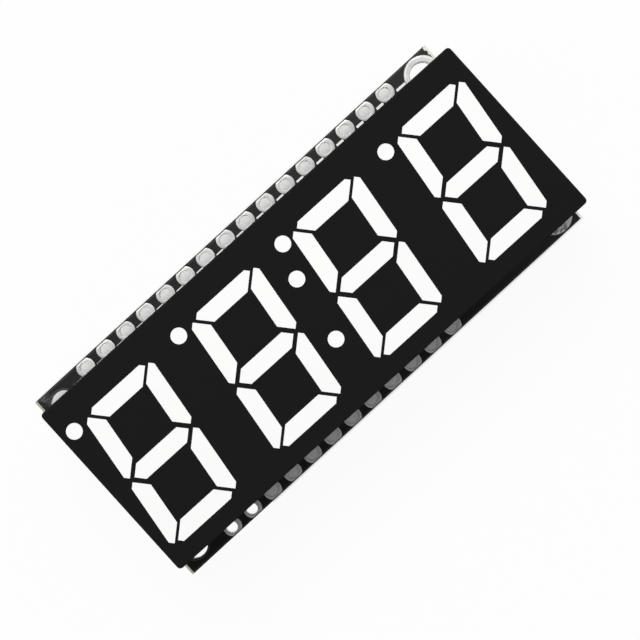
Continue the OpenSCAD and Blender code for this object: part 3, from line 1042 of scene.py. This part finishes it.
# %% The tree of a plated hole
def plated_hole_tree():
    about_pad = floats("Pad Radius", "Pad Shift", "Pad Height", "Board Height", "Trim")
    nodes, sizes = open_tree("plated_holes", {
        **ROW_INPUTS,
        **floats("Hole Radius", "Hole Shift", "Plating"),
        **about_pad,
        "Trim Towards": "Vector",
    })
    hole, hole_shift = sizes["Hole Radius"], sizes["Hole Shift"]
    towards_x, towards_y, _ = nodes.split(sizes["Trim Towards"])

    def reach(cosine, sine):
        along = (cosine * towards_x + sine * towards_y).most(NO_REACH)
        return (sizes["Trim"] / along).least(sizes["Pad Radius"])

    pad = bend_pad(nodes, hole, sizes["Pad Height"], reach, hole_shift, sizes["Pad Shift"])
    upper = nodes.moved(pad, Translation=nodes.upright(sizes["Board Height"]))
    mirrored = nodes.moved(pad, Scale=(1, 1, -1))
    lower = nodes.add("GeometryNodeFlipFaces", sockets={"Mesh": mirrored})
    half = sizes["Board Height"] * 0.5
    wall = bend_liner(nodes, hole, sizes["Plating"], half, hole_shift)
    liner = nodes.moved(wall, Translation=nodes.upright(half))
    whole = nodes.add("GeometryNodeJoinGeometry", sockets={0: [upper, lower, liner]})
    smooth = nodes.add("GeometryNodeSetShadeSmooth", sockets={"Geometry": whole})
    return close_tree(nodes, lay_rows(nodes, sizes, smooth), sizes)


holes = plated_hole_tree()


# %% How holes are plated
PLATING = 0.05 * MM
PAD_RELIEF = 0.026 * MM
DRILL_SHIFT = 0.04 * MM


def plate(
    name, node, places, hole, pad, trim, towards,
    relief=PAD_RELIEF, hole_shift=DRILL_SHIFT, pad_shift=0.0,
):
    """Plates the holes of a CAD node. Its pads are cut off at trim in the direction towards."""
    grow(name, holes, {
        **places,
        "Hole Radius": hole / 2,
        "Hole Shift": hole_shift,
        "Plating": PLATING,
        "Pad Radius": pad / 2,
        "Pad Shift": pad_shift,
        "Pad Height": relief,
        "Board Height": board_top,
        "Trim": trim,
        "Trim Towards": (*towards, 0.0),
        "Material": levelled_tin,
    }, replaced=[node])


# %% Plated header holes and mounting holes
for row in (long_row, short_row):
    places = in_rows((row.first_x, row.y, 0.0), row.count, row.pitch)
    plate(
        row.node.replace("_pads", "_plating"), row.node, places,
        HEADER_HOLE, row.copper, row.cut, (0.0, row.outward), pad_shift=row.shift,
    )

ring_x, ring_y = ring_place
places = in_rows((-ring_x, -ring_y, 0.0), rows=2, row_step=2 * ring_y)
plate(
    "mounting_ring_plating", "mounting_rings", places,
    MOUNTING_HOLE, RING, -ring_x - ring_low.x, (-1.0, 0.0),
)

# %% Plated pin holes
PIN_PITCH = 2.54 * MM
PIN_HOLE = 0.8 * MM
PIN_PAD = 1.5 * MM
UNTRIMMED = 1.0
pad_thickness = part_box("long_row_pads")[1].z - board_top
pin_low, pin_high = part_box("pin_hole_pads")
first_pin = (pin_low.x + PIN_PAD / 2, pin_low.y + PIN_PAD / 2, 0.0)
columns = count_columns(pin_low, pin_high, PIN_PAD, PIN_PITCH)
places = in_rows(first_pin, columns, PIN_PITCH, 2, pin_high.y - pin_low.y - PIN_PAD)
plate(
    "pin_hole_plating", "pin_hole_pads", places,
    PIN_HOLE, PIN_PAD, UNTRIMMED, (1.0, 0.0), relief=pad_thickness, hole_shift=0.0,
)

# %% [markdown]
# ## Print
#
# A white outline of the display block is printed on the board, and the printer left it out round
# every pad. What remains is a dash between each pair of holes, and a longer piece beside each
# corner hole. Behind the board, bars mark where the chip and the small components go. Ink has a
# thickness, so each bar is a flat shape with round corners, given a little height.


# %% Finish of the ink
def ink_finish():
    f = Finish("white_ink")
    spread = f.noise(11, detail=3)
    thin_ink_and_shaded_lacquer = f.noise(1.2, detail=2)
    return f.done(
        colour=f.mixed(spread * 0.5 + thin_ink_and_shaded_lacquer * 0.5, tint(255, 255, 255), tint(251, 251, 250)),
        roughness=0.45 + spread * 0.2,
        relief=spread * 0.006,
    )


ink = ink_finish()


# %% The tree of a printed bar
BAR_ROUNDING = 0.35
BAR_CORNER_POINTS = 4


def bar_tree():
    about_bar = floats("Length", "Width", "Thickness", "Turn")
    nodes, sizes = open_tree("printed_bars", {**ROW_INPUTS, **about_bar})
    outline = nodes.add(
        "GeometryNodeCurvePrimitiveQuadrilateral",
        sockets={"Width": sizes["Length"], "Height": sizes["Width"]},
    )
    soft = nodes.add("GeometryNodeFilletCurve", {"mode": "POLY"}, {
        "Curve": outline,
        "Count": BAR_CORNER_POINTS,
        "Radius": sizes["Width"] * BAR_ROUNDING,
    })
    flat = nodes.add("GeometryNodeFillCurve", {"mode": "NGONS"}, {"Curve": soft})
    raised = nodes.add("GeometryNodeExtrudeMesh", sockets={
        "Mesh": flat,
        "Offset Scale": sizes["Thickness"],
        "Individual": False,
    })
    base = nodes.add("GeometryNodeFlipFaces", sockets={"Mesh": flat})
    both = nodes.add("GeometryNodeJoinGeometry", sockets={0: [raised, base]})
    turned = nodes.moved(weld(nodes, both), Rotation=nodes.upright(sizes["Turn"]))
    return close_tree(nodes, lay_rows(nodes, sizes, turned), sizes)


bars = bar_tree()

# %% Bars of ink
INK_WIDTH = 0.24 * MM
INK_HEIGHT = 0.015 * MM


def print_bars(name, places, length, turn=0.0):
    """Bars of ink. A place is the middle of a bar, at the face it is printed on."""
    grow(name, bars, {
        **places,
        "Length": length,
        "Width": INK_WIDTH,
        "Thickness": INK_HEIGHT,
        "Turn": turn,
        "Material": ink,
    })


# %% Outline of the block
OUTLINE_Y = 9.55 * MM
OUTLINE_LEAN = 0.0012
OUTLINE_SHIFT = -0.07 * MM
PAD_CLEARANCE = 1.05 * MM
RING_CLEARANCE = 1.95 * MM
PLAIN_CLEARANCE = 1.5 * MM


def half_gap(clearance, away):
    """Half the length that a round clearance takes out of a line that passes away from it."""
    return math.sqrt(clearance**2 - away**2)


def on_outline(row, x):
    """A place on the outline, which lies further out on the long row's side as x grows."""
    y = row.outward * OUTLINE_Y - OUTLINE_LEAN * (x - long_row.first_x)
    return x + OUTLINE_SHIFT, y, board_top


def print_between(name, row, start_x, end_x):
    middle = on_outline(row, (start_x + end_x) / 2)
    print_bars(name, in_rows(middle), end_x - start_x)


for row, side_name in ((long_row, "lower"), (short_row, "upper")):
    gap = half_gap(PAD_CLEARANCE, abs(row.y) - OUTLINE_Y)
    first = on_outline(row, row.hole_x(0.5))
    dashes = in_rows(first, row.count - 1, row.pitch, drop=OUTLINE_LEAN * row.pitch)
    print_bars(f"{side_name}_dashes", dashes, row.pitch - 2 * gap)
    ring_end = -ring_x + half_gap(RING_CLEARANCE, OUTLINE_Y - ring_y)
    plain_end = ring_x - half_gap(PLAIN_CLEARANCE, OUTLINE_Y - ring_y)
    print_between(f"{side_name}_ring_dash", row, ring_end, row.first_x - gap)
    print_between(f"{side_name}_plain_dash", row, row.hole_x(row.count - 1) + gap, plain_end)

# %% [markdown]
# ## Solder behind the board
#
# Paste that melts under a lead climbs its sides in a hollow curve and runs out to the edges of
# its pad. A fine grid over each pad is pushed up by its distance from the foot: highest against
# the metal, flat at the rim. The second row of leads is the first one turned half round. The end
# caps of the small components get the same solder, turned to face outwards.


# %% The tree of a solder skirt
GRID_ACROSS = 13
GRID_ALONG = 25
HAIR = 0.001 * MM


def skirt_tree():
    nodes, sizes = open_tree("solder_skirts", {
        **ROW_INPUTS,
        **floats("Pad Width", "Pad Length", "Foot Width", "Foot Length", "Foot Shift"),
        **floats("Climb", "Skin", "Turn", "Second Turn"),
    })
    slab = nodes.add("GeometryNodeMeshCube", sockets={
        "Size": nodes.join(sizes["Pad Width"], sizes["Pad Length"], sizes["Skin"]),
        "Vertices X": GRID_ACROSS,
        "Vertices Y": GRID_ALONG,
        "Vertices Z": 2,
    })
    x, y, z = nodes.split(nodes.add("GeometryNodeInputPosition"))
    beside = (abs(x) - sizes["Foot Width"] * 0.5).most(0.0)
    beyond = (abs(y - sizes["Foot Shift"]) - sizes["Foot Length"] * 0.5).most(0.0)
    away = length(beside, beyond)
    to_rim = (sizes["Pad Width"] * 0.5 - abs(x)).least(sizes["Pad Length"] * 0.5 - abs(y))
    share = to_rim / (to_rim + away + HAIR)
    climb = share * share * sizes["Climb"]
    raised = nodes.add("GeometryNodeSetPosition", sockets={
        "Geometry": slab,
        "Selection": z < 0.0,
        "Offset": nodes.upright(0 - climb),
    })
    turned = nodes.moved(raised, Rotation=nodes.upright(sizes["Turn"]))
    smooth = nodes.add("GeometryNodeSetShadeSmooth", sockets={"Geometry": turned})
    return close_tree(nodes, lay_rows(nodes, sizes, smooth, sizes["Second Turn"]), sizes)


skirts = skirt_tree()

# %% Solder round feet
SKIRT_SKIN = 0.02 * MM
skirt_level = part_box("long_row_pads")[0].z - SKIRT_SKIN / 2


def add_skirts(name, places, pad, foot, foot_shift, climb, turn=0.0, second_turn=0.0):
    """Solder round feet. Before they are turned, pad and foot are (along X, along Y)."""
    grow(name, skirts, {
        **places,
        "Pad Width": pad[0],
        "Pad Length": pad[1],
        "Foot Width": foot[0],
        "Foot Length": foot[1],
        "Foot Shift": foot_shift,
        "Climb": climb,
        "Skin": SKIRT_SKIN,
        "Turn": turn,
        "Second Turn": second_turn,
        "Material": solder,
    })


# %% Solder at the chip's leads
LEAD_PITCH = 1.27 * MM
LEAD_WIDTH = 0.42 * MM
FOOT_LENGTH = 1.0 * MM
PAD_WIDTH = 0.62 * MM
PAD_LENGTH = 1.65 * MM
LEAD_CLIMB = 0.17 * MM
chip_low, chip_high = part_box("driver_chip_pads")
lead_low, lead_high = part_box("driver_chip_leads")
lead_columns = count_columns(chip_low, chip_high, PAD_WIDTH, LEAD_PITCH)
first_lead = chip_low.x + PAD_WIDTH / 2
pad_middle = chip_low.y + PAD_LENGTH / 2
foot_middle = lead_low.y + FOOT_LENGTH / 2
first = (first_lead, pad_middle, skirt_level)
rows_apart = chip_high.y - chip_low.y - PAD_LENGTH
add_skirts(
    "chip_lead_solder",
    in_rows(first, lead_columns, LEAD_PITCH, 2, rows_apart),
    (PAD_WIDTH, PAD_LENGTH),
    (LEAD_WIDTH, FOOT_LENGTH),
    foot_middle - pad_middle,
    LEAD_CLIMB,
    second_turn=math.pi,
)


# %% Solder at the end caps
CAPACITOR_WIDTH = 1.25 * MM
RESISTOR_WIDTH = 0.8 * MM
CAP_LENGTH = 0.35 * MM
CAP_PAD_REACH = 0.3 * MM


def solder_caps(kind, width, climb):
    """Solder at the four end caps of two components that lie along X."""
    low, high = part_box(f"{kind}_end_caps")
    for side, end_name in ((-1, "left"), (1, "right")):
        end = high.x if side > 0 else low.x
        middle = end - side * (CAP_LENGTH - CAP_PAD_REACH) / 2
        first = (middle, low.y + width / 2, skirt_level)
        add_skirts(
            f"{kind}_solder_{end_name}",
            in_rows(first, rows=2, row_step=high.y - low.y - width),
            (width, CAP_LENGTH + CAP_PAD_REACH),
            (width, CAP_LENGTH),
            CAP_PAD_REACH / 2,
            climb,
            turn=side * math.pi / 2,
        )


solder_caps("capacitor", CAPACITOR_WIDTH, climb=0.5 * MM)
solder_caps("resistor", RESISTOR_WIDTH, climb=0.3 * MM)

# %% [markdown]
# ## Copper tracks and vias
#
# Copper tracks join the holes, the chip and the small components. They lie under the black
# lacquer, so they only show as low ridges that catch the light. Each track is a line that runs
# straight, turns by 45 degrees and runs on. The lines are drawn as bare edges, and one tree gives
# them all a flat section. A via is a tiny hole that takes copper through the board, and the
# lacquer closes it, which leaves a low button. One ends a track, and the others tie the two
# faces together near the board's ends.


# %% Finish of the lacquered copper
def lacquered_copper_finish():
    f = Finish("lacquered_copper")
    smear = f.noise(0.45, detail=3)
    orange_peel = f.noise(1.6, detail=2)
    return f.done(
        colour=f.mixed(smear, grey(38), grey(48)),
        roughness=0.34 + smear * 0.14,
        relief=orange_peel * 0.01,
        specular=0.3,
    )


lacquered_copper = lacquered_copper_finish()


# %% The trees of a track and of a via
BUTTON_SIDES = 20
BUTTON_TOP = 0.7
BUTTON_SHOWS = 0.7


def track_tree():
    nodes, sizes = open_tree("tracks", {"Lines": "Geometry", **floats("Width", "Height")})
    lines = nodes.add("GeometryNodeMeshToCurve", sockets={"Mesh": sizes["Lines"]})
    upright = nodes.add("GeometryNodeSetCurveNormal", {"mode": "Z_UP"}, {"Curve": lines})
    section = nodes.add(
        "GeometryNodeCurvePrimitiveQuadrilateral",
        sockets={"Width": sizes["Width"], "Height": sizes["Height"]},
    )
    strips = nodes.add(
        "GeometryNodeCurveToMesh",
        sockets={"Curve": upright, "Profile Curve": section, "Fill Caps": True},
    )
    return close_tree(nodes, strips, sizes)


def via_tree():
    nodes, sizes = open_tree("vias", {"Places": "Geometry", **floats("Radius", "Height")})
    button = nodes.add("GeometryNodeMeshCone", sockets={
        "Vertices": BUTTON_SIDES,
        "Radius Top": sizes["Radius"],
        "Radius Bottom": sizes["Radius"] * BUTTON_TOP,
        "Depth": sizes["Height"],
    })
    hanging = nodes.moved(button, Translation=nodes.upright(sizes["Height"] * -BUTTON_SHOWS))
    buttons = nodes.add(
        "GeometryNodeInstanceOnPoints", sockets={"Points": sizes["Places"], "Instance": hanging}
    )
    return close_tree(nodes, buttons, sizes)


# %% Lines from the leads
TRACK_WIDTH = 0.3 * MM
TRACK_START = 0.4 * MM
ON_LEAD_PAD = 0.2 * MM
ON_PIN_PAD = 0.55 * MM
ON_HEADER_PAD = 0.74 * MM
PAST_PINS = 0.7 * MM
track_lines = []
chip_middle = (chip_low.y + chip_high.y) / 2
pin_row = pin_high.y - PIN_PAD / 2 - chip_middle


def jog(points, x, y):
    """Adds a turn by 45 degrees to the line, which brings it to x, and then runs on to y."""
    last_x, last_y = points[-1]
    rise = math.copysign(abs(x - last_x), y - last_y)
    return points + [(x, last_y + rise), (x, y)]


for side, row in ((-1, long_row), (1, short_row)):
    from_pad = chip_middle + side * (chip_high.y - chip_middle - ON_LEAD_PAD)
    at_pins = chip_middle + side * pin_row
    for lead in range(lead_columns):
        x = first_lead + lead * LEAD_PITCH
        pin_x = pin_low.x + PIN_PAD / 2 + lead // 2 * PIN_PITCH
        line = [(x, from_pad), (x, from_pad + side * TRACK_START)]
        if lead % 2 == 0:
            track_lines.append(jog(line, pin_x, at_pins - side * ON_PIN_PAD))
            continue
        line = jog(line, pin_x + PIN_PITCH / 2, at_pins + side * PAST_PINS)
        hole = round((line[-1][0] - row.first_x) / row.pitch)
        track_lines.append(jog(line, row.hole_x(hole), row.y - side * ON_HEADER_PAD))
print(len(track_lines), "tracks from the leads")


# %% Where the small components are
JUMPER_PAD = 1.2 * MM
RAIL_GAP = 1.2 * MM
cap_low, cap_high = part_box("capacitor_end_caps")
res_low, res_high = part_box("resistor_end_caps")
jumper_low, jumper_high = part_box("address_jumper_pads")
cap_step = (cap_high.y - cap_low.y - CAPACITOR_WIDTH) / 2
res_step = (res_high.y - res_low.y - RESISTOR_WIDTH) / 2
jumper_step = (jumper_high.y - jumper_low.y - JUMPER_PAD) / 2
lead_row = lead_high.y - FOOT_LENGTH / 2 - chip_middle
last_lead = first_lead + (lead_columns - 1) * LEAD_PITCH
cap_rail = cap_low.x - RAIL_GAP
jumper_rail = jumper_high.x + RAIL_GAP
print("rails at X", in_mm((cap_rail, jumper_rail)), "mm")

# %% Lines round the small components
CORNER = 0.7 * MM
FROM_LEAD = 1.35 * MM
FROM_RESISTOR = 1.5 * MM

for end, inner, step, lead_x in (
    (-1, cap_high.x, cap_step, first_lead), (1, res_low.x, res_step, last_lead)
):
    turn_x = lead_x + end * FROM_LEAD
    for side in (-1, 1):
        y = chip_middle + side * step
        lead_y = chip_middle + side * lead_row
        track_lines.append([
            (inner, y),
            (turn_x + end * CORNER, y),
            (turn_x, y + side * CORNER),
            (turn_x, lead_y - side * CORNER),
            (turn_x - end * CORNER, lead_y),
            (lead_x, lead_y),
        ])
        if end < 0:
            track_lines.append([(cap_low.x, y), (cap_rail + TRACK_WIDTH / 2, y)])
        else:
            beyond = res_high.x + FROM_RESISTOR
            jumper_y = chip_middle + side * jumper_step
            turned = (beyond + abs(jumper_y - y), jumper_y)
            track_lines.append([(res_high.x, y), (beyond, y), turned, (jumper_low.x, jumper_y)])

# %% Lines along the rails
RAIL_END = 0.18 * MM
CAP_RAIL_TURN = 2.4 * MM
JUMPER_RAIL_TURN = 2.0 * MM

for rail_x, branch, turn, hole in (
    (cap_rail, cap_step, CAP_RAIL_TURN, 1),
    (jumper_rail, jumper_step, JUMPER_RAIL_TURN, long_row.count - 1),
):
    rail = [(rail_x, chip_middle + branch + RAIL_END), (rail_x, long_row.y + turn)]
    track_lines.append(jog(rail, long_row.hole_x(hole), long_row.y + ON_HEADER_PAD))
for step in (-1, 0, 1):
    y = chip_middle + step * jumper_step
    track_lines.append([(jumper_high.x, y), (jumper_rail - TRACK_WIDTH / 2, y)])
print(len(track_lines), "tracks")


# %% Places of the vias
VIA_STEP = 4.5 * MM
FROM_JUMPER = 1.4 * MM
PAST_CAP_RAIL = 3.2 * MM
PAST_JUMPER_RAIL = 2.2 * MM
jumper_via = (jumper_low.x - FROM_JUMPER, chip_middle)
track_lines.append([(jumper_low.x, chip_middle), jumper_via])
via_places = [jumper_via]
for x in (cap_rail - PAST_CAP_RAIL, jumper_rail + PAST_JUMPER_RAIL):
    via_places += [(x, chip_middle + step * VIA_STEP) for step in (-1, 0, 1)]
print(len(via_places), "vias")


# %% Tracks and vias
TRACK_HEIGHT = 0.028 * MM
TRACK_DEPTH = 0.4
VIA_HEIGHT = TRACK_HEIGHT * 1.4
VIA_RADIUS = 0.32 * MM
track_level = board_low.z - TRACK_HEIGHT * TRACK_DEPTH


def edge_mesh(name, lines):
    """A mesh of bare edges, or of single points where a line has just one."""
    corners, edges = [], []
    for line in lines:
        start = len(corners)
        corners += [(x, y, track_level) for x, y in line]
        edges += [(i, i + 1) for i in range(start, len(corners) - 1)]
    mesh = bpy.data.meshes.new(name)
    mesh.from_pydata(corners, edges, [])
    return mesh


grow("copper_tracks", track_tree(), {
    "Width": TRACK_WIDTH,
    "Height": TRACK_HEIGHT,
    "Material": lacquered_copper,
}, start=edge_mesh("lines", track_lines))
grow("vias", via_tree(), {
    "Radius": VIA_RADIUS,
    "Height": VIA_HEIGHT,
    "Material": lacquered_copper,
}, start=edge_mesh("places", [[place] for place in via_places]))

# %% [markdown]
# ## Print behind the board
#
# Bars beside the chip's ends and along the small components show where each goes. A short bar
# stands beside the chip's first lead.

# %% Print behind the board
CHIP_GAP = 0.35 * MM
CHIP_BAR = 6.6 * MM
FIRST_LEAD_GAP = 0.5 * MM
FIRST_LEAD_BAR = 0.7 * MM
COMPONENT_GAP = 0.3 * MM
CAPACITOR_BAR = 1.1 * MM
RESISTOR_BAR = 0.8 * MM
rear_ink = board_low.z - INK_HEIGHT
body_low, body_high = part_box("driver_chip_body")
first = (body_low.x - CHIP_GAP, chip_middle, rear_ink)
chip_ends = in_rows(first, 2, body_high.x - body_low.x + 2 * CHIP_GAP)
print_bars("chip_end_bars", chip_ends, CHIP_BAR, turn=math.pi / 2)
first = (chip_low.x - FIRST_LEAD_GAP, chip_high.y - FIRST_LEAD_GAP, rear_ink)
print_bars("first_lead_bar", in_rows(first), FIRST_LEAD_BAR)
for kind, bar_length, width in (
    ("capacitor", CAPACITOR_BAR, CAPACITOR_WIDTH), ("resistor", RESISTOR_BAR, RESISTOR_WIDTH)
):
    low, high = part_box(f"{kind}_end_caps")
    away = width / 2 + COMPONENT_GAP
    for place, y in (("lower", low.y + width / 2), ("upper", high.y - width / 2)):
        first = ((low.x + high.x) / 2, y - away, rear_ink)
        both = in_rows(first, rows=2, row_step=2 * away)
        print_bars(f"{place}_{kind}_bars", both, bar_length)
